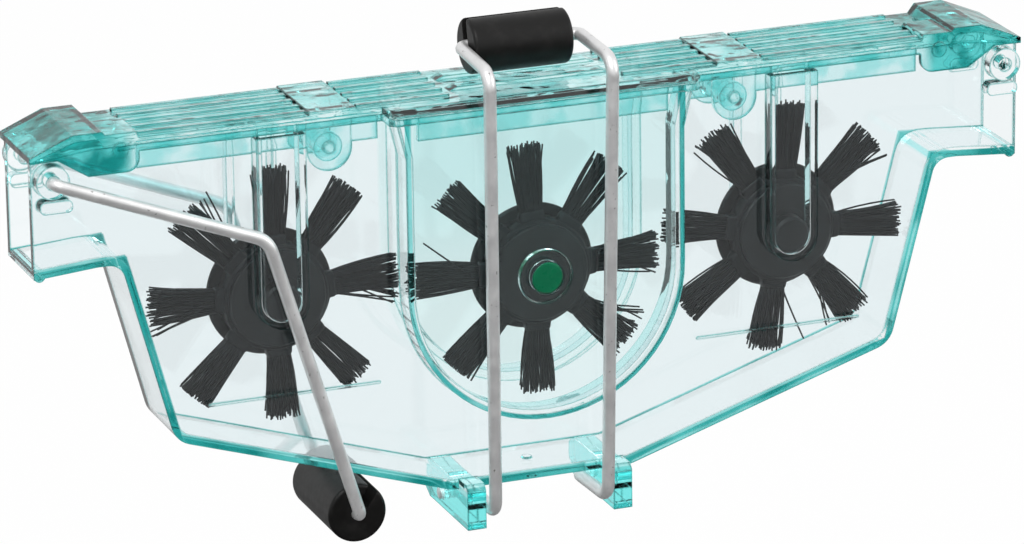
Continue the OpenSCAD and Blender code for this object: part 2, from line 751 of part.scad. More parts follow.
// A side axle lies in the channels of both walls and is pressed into its brush
module side_axle(side) {
    half = channel_y - channel_wall - end_clear;
    r = channel_r - run_clear;
    color(black_plastic) place() translate([side * brush_pitch, 0, side_axis_h])
        rotate([90, 0, 0]) rotate_extrude($fn = round_fn)
            polygon([[0, -half], [r - axle_chamfer, -half], [r, axle_chamfer - half],
                [r, half - axle_chamfer], [r - axle_chamfer, half], [0, half]]);
}

// The middle axle is pressed into the rings of the front wall and of the recess
module middle_axle() {
    y0 = -chamber_y + axle_chamfer / 2;
    h = recess_face_y - y0;
    r = middle_axle_d / 2;
    color(green_plastic) place() translate([0, y0, middle_axis_h]) rotate([-90, 0, 0])
        rotate_extrude($fn = round_fn)
            polygon([[0, 0], [r - axle_chamfer / 2, 0], [r, axle_chamfer / 2],
                [r, h], [0, h]]);
}

side_bore = channel_r - run_clear + press_clear;
middle_bore = middle_axle_d / 2 + run_clear;

// The clamp is one wire: pivot ends in the feet, two legs and a bar through the roller
pivot_end = 1;
pivot_bend = 2.2;
pivot_side_gap = 2.6;
heel_bend = 3.5;
top_bend = 4;
shoulder_bend = 1.8;
shoulder_in = 0.4;
module clamp_wire() {
    x0 = foot_x + foot_t + pivot_end;
    x1 = foot_x - pivot_side_gap;
    x3 = leg_span_high / 2 - shoulder_in;
    z3 = rim_h + clamp_roller_rise;
    half_path = [[x0, pivot_y, pivot_h], [x1, pivot_y, pivot_h],
        [leg_span_low / 2, -leg_low_y, pivot_h], [leg_span_high / 2, -leg_high_y, clamp_top],
        [x3, clamp_roller_y, z3]];
    path = concat(half_path, [for (i = [len(half_path) - 1:-1:0])
        [-half_path[i][0], half_path[i][1], half_path[i][2]]]);
    bends = [0, pivot_bend, heel_bend, top_bend, shoulder_bend,
        shoulder_bend, top_bend, heel_bend, pivot_bend, 0];
    color(zinc_wire) place() wire(path, bends, wire_r);
}

// A split roller of length len along Z, with the slot towards +Y
edge_round = 0.8;
module split_roller(len, d, slot) {
    r = d / 2;
    difference() {
        rotate_extrude($fn = round_fn)
            polygon(rounded([[wire_r + run_clear, -len / 2], [r, -len / 2], [r, len / 2],
                [wire_r + run_clear, len / 2]], [0, edge_round, edge_round, 0], 4));
        translate([-slot / 2, 0, -len / 2 - over]) cube([slot, r + over, len + 2 * over]);
    }
}

module clamp_roller() {
    color(black_rubber) place()
        translate([-clamp_roller_left, clamp_roller_y, rim_h + clamp_roller_rise])
            rotate([clamp_slot_angle, 0, 0]) rotate([0, 90, 0])
                split_roller(clamp_roller_len, clamp_roller_d, slot_w);
}
clamp_slot_angle = 78;
arm_slot_angle = 35;

// The arm is one wire: ends in the left bosses, two cranked legs and a bar for the roller
arm_tail = 4.4;
ear_bend = 1.8;
elbow_bend = 6;
arm_end_bend = 2.4;
arm_x1 = -boss_x + tub_len * arm_run_share;
arm_x2 = arm_x1 + tub_len * arm_end_share;
module support_arm() {
    half_path = [[-boss_x, -arm_y + wire_r + arm_gap + arm_tail, boss_z],
        [-boss_x, -arm_y, boss_z], [arm_x1, -arm_y, boss_z - arm_run_z],
        [arm_x2, -arm_y, arm_roller_h]];
    path = concat(half_path, [for (i = [len(half_path) - 1:-1:0])
        [half_path[i][0], -half_path[i][1], half_path[i][2]]]);
    bends = [0, ear_bend, elbow_bend, arm_end_bend, arm_end_bend, elbow_bend, ear_bend, 0];
    color(zinc_wire) place() wire(path, bends, wire_r);
}

module arm_roller() {
    color(black_rubber) place() translate([arm_x2, 0, arm_roller_h])
        rotate([0, arm_slot_angle, 0]) rotate([90, 0, 0])
            split_roller(arm_roller_len, arm_roller_d, slot_w);
}

tub();
lid();
chain_roller(-1);  // left_chain_roller
chain_roller(1);  // right_chain_roller
roller_pin(-1);  // left_roller_pin
roller_pin(1);  // right_roller_pin
brush_hub(-brush_pitch, side_axis_h, side_tuft_y, side_bore, inner_y - end_clear);  // left_brush_hub
brush_cap(-brush_pitch, side_axis_h, side_tuft_y, side_bore, end_clear - inner_y);  // left_brush_cap
bristles(-brush_pitch, side_axis_h, side_tuft_y, left_angles);  // left_bristles
side_axle(-1);  // left_axle
brush_hub(0, middle_axis_h, middle_tuft_y, middle_bore,  // middle_brush_hub
        recess_face_y - seat_ring_t - end_clear);
brush_cap(0, middle_axis_h, middle_tuft_y, middle_bore,  // middle_brush_cap
        wall - chamber_y + seat_ring_t + end_clear);
bristles(0, middle_axis_h, middle_tuft_y, middle_angles);  // middle_bristles
middle_axle();
brush_hub(brush_pitch, side_axis_h, side_tuft_y, side_bore, inner_y - end_clear);  // right_brush_hub
brush_cap(brush_pitch, side_axis_h, side_tuft_y, side_bore, end_clear - inner_y);  // right_brush_cap
bristles(brush_pitch, side_axis_h, side_tuft_y, right_angles);  // right_bristles
side_axle(1);  // right_axle
clamp_wire();
clamp_roller();
support_arm();
arm_roller();
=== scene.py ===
import math

import bpy
import numpy as np
from mathutils import Matrix, Vector


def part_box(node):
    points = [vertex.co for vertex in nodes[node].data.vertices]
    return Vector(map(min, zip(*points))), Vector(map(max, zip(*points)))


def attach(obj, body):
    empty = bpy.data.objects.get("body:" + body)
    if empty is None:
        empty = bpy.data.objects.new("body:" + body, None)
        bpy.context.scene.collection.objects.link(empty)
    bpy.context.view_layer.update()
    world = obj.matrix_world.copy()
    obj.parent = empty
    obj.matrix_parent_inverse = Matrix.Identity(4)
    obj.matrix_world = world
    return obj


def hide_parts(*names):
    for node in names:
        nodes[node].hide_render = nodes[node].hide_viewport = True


# The cleaner is a see-through tub with three brushes, a ribbed lid, a wire clamp and a
# wire arm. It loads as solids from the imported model, and each piece is then dressed.
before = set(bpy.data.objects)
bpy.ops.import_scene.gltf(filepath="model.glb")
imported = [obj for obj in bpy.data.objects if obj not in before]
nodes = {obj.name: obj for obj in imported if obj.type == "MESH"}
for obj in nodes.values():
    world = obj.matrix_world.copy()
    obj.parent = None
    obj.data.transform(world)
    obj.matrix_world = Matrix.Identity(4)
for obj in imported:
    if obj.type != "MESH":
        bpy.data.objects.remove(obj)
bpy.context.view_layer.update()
MM = 0.001
FLOAT, COLOUR = "NodeSocketFloat", "NodeSocketColor"


# Tools that every material below is built with: nodes, sums, steps, blends and groups. The
# pieces follow in the order in which the cleaner goes together, and then the studio.
def add_node(tree, kind, place, **values):
    """A shader node of that kind; sockets are set by name, with _ for a space."""
    node = tree.nodes.new(kind)
    node.location = place
    for name, value in values.items():
        socket = node.inputs.get(name.replace("_", " "))
        if socket is not None:
            socket.default_value = value
        else:
            setattr(node, name, value)
    return node


def calc(tree, place, operation, *terms):
    """A math node on numbers and sockets; gives its output socket."""
    node = add_node(tree, "ShaderNodeMath", place, operation=operation)
    for socket, term in zip(node.inputs, terms):
        if isinstance(term, bpy.types.NodeSocket):
            tree.links.new(term, socket)
        else:
            socket.default_value = term
    return node.outputs["Value"]


def ramp(tree, place, value, low, high, out_low=0.0, out_high=1.0):
    """The value's way from low to high as a smooth step from out_low to out_high."""
    node = add_node(tree, "ShaderNodeMapRange", place, interpolation_type="SMOOTHSTEP",
                    From_Min=low, From_Max=high, To_Min=out_low, To_Max=out_high)
    tree.links.new(value, node.inputs["Value"])
    return node.outputs["Result"]


def blend(tree, place, factor, first, second, kind="RGBA"):
    """A mix of two colours, or of two numbers where kind is FLOAT, each typed or a socket."""
    node = add_node(tree, "ShaderNodeMix", place, data_type=kind)
    for name, term in (("Factor", factor), ("A", first), ("B", second)):
        if isinstance(term, bpy.types.NodeSocket):
            tree.links.new(term, node.inputs[name])
        else:
            node.inputs[name].default_value = term
    return node.outputs["Result"]


def split_place(tree, place, output):
    """Texture coordinates of that kind, whole and as their X, Y and Z."""
    whole = add_node(tree, "ShaderNodeTexCoord", place).outputs[output]
    parts = add_node(tree, "ShaderNodeSeparateXYZ", (place[0] + 200, place[1]))
    tree.links.new(whole, parts.inputs[0])
    return whole, parts.outputs


def new_material(name):
    """An empty node material with its output and one Principled shader."""
    material = bpy.data.materials.new(name)
    material.use_nodes = True
    tree = material.node_tree
    tree.nodes.clear()
    output = add_node(tree, "ShaderNodeOutputMaterial", (700, 0))
    shader = add_node(tree, "ShaderNodeBsdfPrincipled", (300, 0))
    tree.links.new(shader.outputs["BSDF"], output.inputs["Surface"])
    return material, tree, shader, output


def new_group(name, inputs, outputs):
    """A shader node group with its sockets, and its two end nodes."""
    group = bpy.data.node_groups.new(name, "ShaderNodeTree")
    for socket, kind, value in inputs:
        made = group.interface.new_socket(socket, in_out="INPUT", socket_type=kind)
        made.default_value = value
    for socket, kind in outputs:
        group.interface.new_socket(socket, in_out="OUTPUT", socket_type=kind)
    start = add_node(group, "NodeGroupInput", (-800, 0))
    end = add_node(group, "NodeGroupOutput", (800, 0))
    return group, start.outputs, end.inputs


def use_group(tree, group, place, **values):
    """One use of a node group with its own values; gives its output sockets."""
    node = tree.nodes.new("ShaderNodeGroup")
    node.node_tree = group
    node.location = place
    for name, value in values.items():
        node.inputs[name.replace("_", " ")].default_value = value
    return node.outputs


# Moulded skin: slow waves left by the cooling plastic and a fine grain from the mould
moulded_skin, skin_in, skin_out = new_group(
    "Moulded skin",
    [("Wave size", FLOAT, 60.0), ("Wave height", FLOAT, 0.5), ("Grain size", FLOAT, 2500.0),
     ("Grain height", FLOAT, 0.2), ("Smoothest", FLOAT, 0.03), ("Roughest", FLOAT, 0.1)],
    [("Height", FLOAT), ("Roughness", FLOAT)])
skin_place = add_node(moulded_skin, "ShaderNodeTexCoord", (-800, -300)).outputs["Object"]
skin_wave = add_node(moulded_skin, "ShaderNodeTexNoise", (-500, 100), Detail=1.0)
skin_grain = add_node(moulded_skin, "ShaderNodeTexNoise", (-500, -200), Detail=3.0)
skin_rough = add_node(moulded_skin, "ShaderNodeMapRange", (0, -300))
for a, b in ((skin_place, skin_wave.inputs["Vector"]), (skin_place, skin_grain.inputs["Vector"]),
             (skin_in["Wave size"], skin_wave.inputs["Scale"]),
             (skin_in["Grain size"], skin_grain.inputs["Scale"]),
             (skin_grain.outputs["Fac"], skin_rough.inputs["Value"]),
             (skin_in["Smoothest"], skin_rough.inputs["To Min"]),
             (skin_in["Roughest"], skin_rough.inputs["To Max"]),
             (skin_rough.outputs["Result"], skin_out["Roughness"])):
    moulded_skin.links.new(a, b)
skin_high = calc(
    moulded_skin, (200, 0), "ADD",
    calc(moulded_skin, (0, 100), "MULTIPLY", skin_wave.outputs["Fac"], skin_in["Wave height"]),
    calc(moulded_skin, (0, -100), "MULTIPLY", skin_grain.outputs["Fac"], skin_in["Grain height"]))
moulded_skin.links.new(skin_high, skin_out["Height"])


# Clear tub: one moulding of aqua polycarbonate, 1.8 mm thick and polished, so that faces
# are nearly white and only the long way through an edge or a rib turns deep teal.
aqua_index, steps_inside = 1.49, 6.5
shadow_tint = (0.86, 0.97, 0.97, 1)
line_width, line_start, line_full = 0.7 * MM, 0.995, 0.9


def edge_line(tree, place, width):
    """1 on a sharp edge, 0 away from it: how far the rounded normal leans from the true."""
    wide = add_node(tree, "ShaderNodeBevel", place, samples=6, Radius=width)
    true = add_node(tree, "ShaderNodeNewGeometry", (place[0], place[1] - 200))
    lean = add_node(tree, "ShaderNodeVectorMath", (place[0] + 200, place[1]),
                    operation="DOT_PRODUCT")
    tree.links.new(wide.outputs["Normal"], lean.inputs[0])
    tree.links.new(true.outputs["True Normal"], lean.inputs[1])
    size = calc(tree, (place[0] + 400, place[1]), "ABSOLUTE", lean.outputs["Value"])
    return ramp(tree, (place[0] + 600, place[1]), size, line_start, line_full)


def clear_plastic(name, edge_shade_colour, wave_size, wave_height, round_edge, colour_nodes):
    """Polished aqua plastic: colour_nodes paints its skin with the colour that light takes on its
    way through; the shading rounds its edges, and a dark teal line of painted shade runs along
    each sharp edge for the deeper tint and dark refraction seen there."""
    material, tree, shader, output = new_material(name)
    shader.inputs["Transmission Weight"].default_value = 1.0
    shader.inputs["IOR"].default_value = aqua_index
    # Painted shade: a dark teal line along each sharp edge stands in for the deeper tint and dark
    # refraction seen there
    lined = blend(tree, (150, 300), edge_line(tree, (-700, 800), line_width),
                  colour_nodes(tree), edge_shade_colour)
    tree.links.new(lined, shader.inputs["Base Color"])
    skin = use_group(tree, moulded_skin, (-300, -200), Wave_size=wave_size,
                     Wave_height=wave_height, Grain_size=900.0, Grain_height=0.01,
                     Smoothest=0.012, Roughest=0.04)
    rounding = add_node(tree, "ShaderNodeBevel", (-300, -450), samples=4, Radius=round_edge)
    bump = add_node(tree, "ShaderNodeBump", (0, -300), Strength=0.5, Distance=0.0006)
    tree.links.new(skin["Height"], bump.inputs["Height"])
    tree.links.new(skin["Roughness"], shader.inputs["Roughness"])
    tree.links.new(rounding.outputs["Normal"], bump.inputs["Normal"])
    tree.links.new(bump.outputs["Normal"], shader.inputs["Normal"])
    # Light reaches the brushes through the walls, so a shadow ray passes with a tint, and so
    # does a ray that has been thrown about inside the walls, which would end black
    shade = add_node(tree, "ShaderNodeBsdfTransparent", (300, 250), Color=shadow_tint)
    path = add_node(tree, "ShaderNodeLightPath", (300, 600))
    mixed = add_node(tree, "ShaderNodeMixShader", (550, 150))
    passing = calc(tree, (420, 450), "MAXIMUM", path.outputs["Is Shadow Ray"], calc(
        tree, (360, 550), "GREATER_THAN", path.outputs["Ray Depth"], steps_inside))
    tree.links.new(passing, mixed.inputs["Fac"])
    tree.links.new(shader.outputs["BSDF"], mixed.inputs[1])
    tree.links.new(shade.outputs["BSDF"], mixed.inputs[2])
    tree.links.new(mixed.outputs["Shader"], output.inputs["Surface"])
    return material


def dress(name, material):
    """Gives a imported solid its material."""
    nodes[name].data.materials.clear()
    nodes[name].data.materials.append(material)


def above_line(tree, place, x, z, corner, lean):
    """Distance of (x, z) above a line through a corner that climbs at the angle lean:
    (z - z0) cos lean - (x - x0) sin lean."""
    sine, cosine = math.sin(lean), math.cos(lean)
    level = calc(tree, place, "MULTIPLY_ADD", z, cosine, sine * corner[0] - cosine * corner[1])
    return calc(tree, (place[0] + 150, place[1]), "MULTIPLY_ADD", x, -sine, level)


chamber_radius, chamber_axis_z, chamber_front_y = 33.8 * MM, 58.6 * MM, -9.0 * MM
floor_end, low_corner = (22.0 * MM, 8.3 * MM), (88.2 * MM, 29.4 * MM)
neck_corner, wing_end = (99.7 * MM, 73.1 * MM), (120.0 * MM, 71.9 * MM)
strip_full, strip_end, outline_slack = 1.6 * MM, 2.0 * MM, 0.3 * MM
rim_start, rim_full, window_start = 1.5 * MM, 1.0 * MM, 2.0 * MM
glazing_low, glazing_high = 50.0 * MM, 85.0 * MM
flat_start, flat_full = 0.3, 0.5
blotch_low, blotch_high = 0.42, 0.6
face_tint = (0.91, 0.955, 0.965, 1)
glazing_tints = (0.86, 0.952, 0.954, 1), (0.757, 0.914, 0.916, 1)
edge_teals = (0.006, 0.24, 0.225, 1), (0.1, 0.58, 0.56, 1)
foot_tint = (0.22, 0.86, 0.85, 1)
# Colours of the painted shade along sharp edges, for the deeper tint and dark refraction an edge
# shows
tub_edge_shade, lid_edge_shade = (0.03, 0.3, 0.28, 1), (0.02, 0.32, 0.3, 1)


def climb(first, second):
    """The angle of the line from one corner to the next."""
    return math.atan2(second[1] - first[1], second[0] - first[0])


def tub_skin(tree):
    """Pale faces with a tinted chamber window, and teal where a face looks along a wall: in
    from the tub's outline by less than the wall, round the chamber's rim, and in the feet."""
    place, spot = split_place(tree, (-1500, 300), "Object")
    facing = split_place(tree, (-1500, 0), "Normal")[1]
    off_x, height = calc(tree, (-1100, 400), "ABSOLUTE", spot["X"]), spot["Z"]
    below = calc(tree, (-1100, 250), "MINIMUM", 0.0, calc(
        tree, (-1200, 150), "SUBTRACT", height, chamber_axis_z))
    off = calc(tree, (-900, 300), "SQRT", calc(
        tree, (-1000, 300), "ADD", calc(tree, (-1050, 350), "MULTIPLY", off_x, off_x),
        calc(tree, (-1050, 250), "MULTIPLY", below, below)))
    window = ramp(tree, (-700, 300), off, chamber_radius - strip_full,
                  chamber_radius - window_start)
    flat = ramp(tree, (-700, -250), calc(tree, (-900, -250), "ABSOLUTE", facing["Y"]),
                flat_start, flat_full)
    window = calc(tree, (-300, 300), "MULTIPLY", window, flat)
    inside = calc(tree, (-900, -500), "MINIMUM",
                  above_line(tree, (-1200, -500), off_x, height, floor_end, 0.0),
                  above_line(tree, (-1200, -650), off_x, height, floor_end,
                             climb(floor_end, low_corner)))
    inside = calc(tree, (-700, -500), "MINIMUM", inside, calc(
        tree, (-900, -700), "MAXIMUM",
        above_line(tree, (-1200, -800), off_x, height, low_corner,
                   climb(low_corner, neck_corner)),
        above_line(tree, (-1200, -950), off_x, height, neck_corner,
                   climb(neck_corner, wing_end))))
    strip = calc(tree, (-400, -500), "MULTIPLY",
                 ramp(tree, (-500, -500), inside, strip_end, strip_full),
                 calc(tree, (-500, -650), "GREATER_THAN", inside, -outline_slack))
    rim = calc(tree, (-500, 50), "MULTIPLY",
               ramp(tree, (-700, 100), off, chamber_radius - rim_start, chamber_radius - rim_full),
               calc(tree, (-700, -50), "LESS_THAN", off, chamber_radius + outline_slack))
    rim = calc(tree, (-400, 50), "MULTIPLY", rim, calc(
        tree, (-700, -150), "LESS_THAN", spot["Y"], chamber_front_y))
    thick = calc(tree, (-200, 0), "MULTIPLY", calc(tree, (-300, 0), "MAXIMUM", strip, rim), flat)
    in_foot = ramp(tree, (-400, 600), inside, -outline_slack, -2 * outline_slack)
    glazing = blend(tree, (-400, 450),
                    ramp(tree, (-600, 450), height, glazing_low, glazing_high), *glazing_tints)
    pale = blend(tree, (-150, 300), window, face_tint, glazing)
    # Painted light and shade: noise streaks of darker and paler teal in the edge strips stand in
    # for the uneven refraction seen along the walls
    refraction_streaks = add_node(tree, "ShaderNodeTexNoise", (-700, -1100), Scale=45.0, Detail=2.0)
    tree.links.new(place, refraction_streaks.inputs["Vector"])
    teal = blend(tree, (-150, -300),
                 ramp(tree, (-400, -1100), refraction_streaks.outputs["Fac"], blotch_low, blotch_high),
                 *edge_teals)
    edged = blend(tree, (50, 200), thick, pale, teal)
    return blend(tree, (200, 200), in_foot, edged, foot_tint)


dress("tub", clear_plastic("Clear aqua tub", tub_edge_shade, wave_size=55.0, wave_height=0.35,
                           round_edge=0.5 * MM, colour_nodes=tub_skin))

# Lid and chain rollers: a second moulding of the same plastic, laid over the rim, with two
# spools on pins between its ears that hold the chain down on the brushes.
dome_start, dome_full = 95.0 * MM, 99.0 * MM
roof_tints = (0.74, 0.94, 0.94, 1), (0.4, 0.83, 0.82, 1)
dome_tints = (0.14, 0.68, 0.66, 1), (0.01, 0.3, 0.28, 1)


def lid_skin(tree):
    """Aqua all over, in slow painted blotches of paler and deeper teal that stand in for the
    light and shade refracted where the lid is thicker or thinner below, and deeper in the
    two end domes, where |x| is over dome_start."""
    place, spot = split_place(tree, (-900, 0), "Object")
    dome = ramp(tree, (-300, 0), calc(tree, (-500, 0), "ABSOLUTE", spot["X"]),
                dome_start, dome_full)
    # Painted light and shade: noise blotches of paler and deeper teal stand in for the mottled
    # refraction through the lid
    refraction_blotches = add_node(tree, "ShaderNodeTexNoise", (-600, 200), Scale=140.0, Detail=2.0)
    tree.links.new(place, refraction_blotches.inputs["Vector"])
    share = ramp(tree, (-300, 200), refraction_blotches.outputs["Fac"], blotch_low, blotch_high)
    return blend(tree, (200, 200), dome, blend(tree, (0, 200), share, *roof_tints),
                 blend(tree, (0, 0), share, *dome_tints))


lid_plastic = clear_plastic("Clear aqua lid", lid_edge_shade, wave_size=190.0, wave_height=1.0,
                            round_edge=0.4 * MM, colour_nodes=lid_skin)
for name in ("lid", "left_chain_roller", "right_chain_roller", "left_roller_pin",
             "right_roller_pin"):
    dress(name, lid_plastic)


# Brush hubs: a back disc with a core, and a smaller cap pressed on in front, both moulded
# in black nylon with a satin skin that is a little greyer where it is scuffed.
scuff_low, scuff_high = 0.45, 0.75
scuffs, scuff_in, scuff_out = new_group(
    "Scuffed colour",
    [("Colour", COLOUR, (0.03, 0.03, 0.03, 1)), ("Scuffed", COLOUR, (0.1, 0.1, 0.1, 1)),
     ("Size", FLOAT, 120.0), ("Amount", FLOAT, 0.5)],
    [("Colour", COLOUR)])
scuff_place = add_node(scuffs, "ShaderNodeTexCoord", (-800, -300))
scuff_noise = add_node(scuffs, "ShaderNodeTexNoise", (-500, 0), Detail=5.0, Roughness=0.65)
scuffs.links.new(scuff_place.outputs["Object"], scuff_noise.inputs["Vector"])
scuffs.links.new(scuff_in["Size"], scuff_noise.inputs["Scale"])
scuff_share = calc(scuffs, (0, 0), "MULTIPLY", scuff_in["Amount"],
                   ramp(scuffs, (-250, 0), scuff_noise.outputs["Fac"], scuff_low, scuff_high))
scuffs.links.new(blend(scuffs, (300, 0), scuff_share, scuff_in["Colour"], scuff_in["Scuffed"]),
                 scuff_out["Colour"])


def moulded_black(name, colour, scuffed, gloss, smoothest, roughest, grain, round_edge):
    """Opaque moulded material: scuffed colour, grain in the gloss and softened edges."""
    material, tree, shader, _ = new_material(name)
    shader.inputs["Specular IOR Level"].default_value = gloss
    tint = use_group(tree, scuffs, (-300, 200), Colour=colour, Scuffed=scuffed, Size=180.0)
    skin = use_group(tree, moulded_skin, (-600, -200), Wave_size=90.0, Wave_height=0.1,
                     Grain_size=grain, Grain_height=0.012, Smoothest=smoothest,
                     Roughest=roughest)
    rounding = add_node(tree, "ShaderNodeBevel", (-300, -450), samples=4, Radius=round_edge)
    bump = add_node(tree, "ShaderNodeBump", (0, -300), Strength=0.4, Distance=0.0003)
    tree.links.new(tint["Colour"], shader.inputs["Base Color"])
    tree.links.new(skin["Roughness"], shader.inputs["Roughness"])
    tree.links.new(skin["Height"], bump.inputs["Height"])
    tree.links.new(rounding.outputs["Normal"], bump.inputs["Normal"])
    tree.links.new(bump.outputs["Normal"], shader.inputs["Normal"])
    return material


hub_plastic = moulded_black("Black nylon", (0.006, 0.0065, 0.007, 1), (0.022, 0.023, 0.025, 1),
                            gloss=0.14, smoothest=0.3, roughest=0.42, grain=700.0,
                            round_edge=0.3 * MM)
for name in ("left_brush_hub", "left_brush_cap", "middle_brush_hub", "middle_brush_cap",
             "right_brush_hub", "right_brush_cap", "left_axle", "right_axle"):
    dress(name, hub_plastic)

# Green axle: a short pin of emerald plastic, pressed into the tub's two rings, whose front
# end shows as a disc in the middle of the clear chamber.
green_plastic = moulded_black("Emerald plastic", (0.0, 0.13, 0.055, 1), (0.004, 0.19, 0.08, 1),
                              gloss=0.3, smoothest=0.22, roughest=0.34, grain=700.0,
                              round_edge=0.4 * MM)
dress("middle_axle", green_plastic)

# Bristles: black nylon strands in eight bunches, each bunch folded into a socket of the
# ring between the disc and the cap. They fan out, and their tips are worn to ragged ends.
ring_radius, ring_inside = 12.5 * MM, 7.2 * MM
ring_half, ring_shift, ring_bevel = 2.45 * MM, 0.35 * MM, 0.3 * MM
root_radius, tip_radius = 13.4 * MM, 30.4 * MM
root_width, tip_width = 5.2 * MM, 8.2 * MM
root_depth, tip_depth = 2.4 * MM, 3.8 * MM
strand_radius, strand_taper = 0.23 * MM, 0.1
strand_columns, strand_rows, row_shift = 13, 6, 0.25
scatter_across, scatter_deep, bow_spread = 0.03, 0.06, 0.25 * MM
ragged_share, ragged_power, worn_below = 0.06, 1.8, 0.025
socket_side, socket_front, socket_squareness = 0.5 * MM, 0.45 * MM, 0.35
first_seed = 11


def strand_material():
    """Black nylon strands: near-black with a thin sheen, and paler here and there."""
    material, tree, shader, _ = new_material("Black bristle")
    shader.inputs["Specular IOR Level"].default_value = 0.1
    tint = use_group(tree, scuffs, (-300, 200), Colour=(0.004, 0.0043, 0.005, 1),
                     Scuffed=(0.02, 0.021, 0.023, 1), Size=900.0, Amount=0.6)
    skin = use_group(tree, moulded_skin, (-300, -200), Wave_size=600.0, Wave_height=0.2,
                     Grain_size=3000.0, Grain_height=0.2, Smoothest=0.3, Roughest=0.5)
    tree.links.new(tint["Colour"], shader.inputs["Base Color"])
    tree.links.new(skin["Roughness"], shader.inputs["Roughness"])
    return material


def strands(angles, strays, seed):
    """Middle lines and radii of tapered strands: strand (i, j) of a bunch runs from its place
    on a root rectangle to one on a wider tip rectangle, bowed sideways as 4 t (1 - t)."""
    rng = np.random.default_rng(seed)
    i, j = np.meshgrid(np.arange(strand_columns), np.arange(strand_rows), indexing="ij")
    across = ((i + 0.5 + row_shift * (j % 2)) / strand_columns - 0.5).ravel()
    deep = ((j + 0.5) / strand_rows - 0.5).ravel()
    count = len(across)
    all_points, all_radii = [], []
    t = np.linspace(0.0, 1.0, 6)
    for number, angle in enumerate(angles):
        tip_across = across + rng.normal(0, scatter_across, count)
        tip_deep = deep + rng.normal(0, scatter_deep, count)
        reach = tip_radius * (1 - ragged_share * rng.random(count) ** ragged_power)
        reach *= 1 - worn_below * (1 - math.sin(math.radians(angle))) / 2
        bow = rng.normal(0, bow_spread, count)
        stray_count, lean = strays.get(number, (0, 0.0))
        loose = rng.permutation(count)[:stray_count]
        tip_across[loose] = np.sign(lean) * (0.5 + abs(lean) * rng.random(len(loose)))
        side0, side1 = across * root_width, tip_across * tip_width
        depth0, depth1 = deep * root_depth, tip_deep * tip_depth
        out1 = np.sqrt(np.maximum(reach ** 2 - side1 ** 2, 0))
        side = side0[:, None] + (side1 - side0)[:, None] * t + bow[:, None] * (t * (1 - t) * 4)
        depth = depth0[:, None] + (depth1 - depth0)[:, None] * t
        out = root_radius + (out1 - root_radius)[:, None] * t
        a = math.radians(angle)
        x = out * math.cos(a) - side * math.sin(a)
        z = out * math.sin(a) + side * math.cos(a)
        all_points.append(np.stack([x, depth, z], axis=-1))
        all_radii.append(np.broadcast_to(strand_radius * (1 - strand_taper * t),
                                         (count, len(t))))
    return np.concatenate(all_points), np.concatenate(all_radii)


def tubes(paths, radii, sides=5):
    """A tube round each path: rings square to the path's own direction, closed at both
    ends by a point in the middle of the end ring."""
    step = np.gradient(paths, axis=1)
    step /= np.linalg.norm(step, axis=-1, keepdims=True)
    up = np.cross(step, [0.0, 1.0, 0.0])
    up /= np.linalg.norm(up, axis=-1, keepdims=True)
    side = np.cross(step, up)
    turn = np.arange(sides) * 2 * math.pi / sides
    ring = (up[:, :, None] * np.cos(turn)[:, None] + side[:, :, None] * np.sin(turn)[:, None])
    points = paths[:, :, None] + ring * radii[:, :, None, None]
    count, rings = paths.shape[:2]
    grid = np.arange(count * rings * sides).reshape(count, rings, sides)
    following = np.roll(grid, -1, axis=2)
    walls = np.stack([grid[:, :-1], following[:, :-1], following[:, 1:], grid[:, 1:]], axis=-1)
    base = points.reshape(-1, 3)
    ends = np.concatenate([paths[:, 0], paths[:, -1]])
    first = len(base) + np.arange(count)
    last = first + count
    caps0 = np.stack([following[:, 0], grid[:, 0],
                      np.broadcast_to(first[:, None], (count, sides))], axis=-1)
    caps1 = np.stack([grid[:, -1], following[:, -1],
                      np.broadcast_to(last[:, None], (count, sides))], axis=-1)
    faces = [face for part in (walls, caps0, caps1)
             for face in part.reshape(-1, part.shape[-1]).tolist()]
    return np.concatenate([base, ends]), faces


def revolved(profile, centre, segments=96):
    """A closed ring turned round Y: profile holds (radius, y) points, last joins first."""
    turn = np.arange(segments) * 2 * math.pi / segments
    r, y = profile[:, 0], profile[:, 1]
    points = np.stack([np.outer(np.cos(turn), r), np.broadcast_to(y, (segments, len(y))),
                       np.outer(np.sin(turn), r)], axis=-1) + centre
    grid = np.arange(segments * len(r)).reshape(segments, len(r))
    across, along = np.roll(grid, -1, axis=0), np.roll(grid, -1, axis=1)
    both = np.roll(across, -1, axis=1)
    return points.reshape(-1, 3), np.stack([grid, across, both, along], axis=-1).reshape(-1, 4)


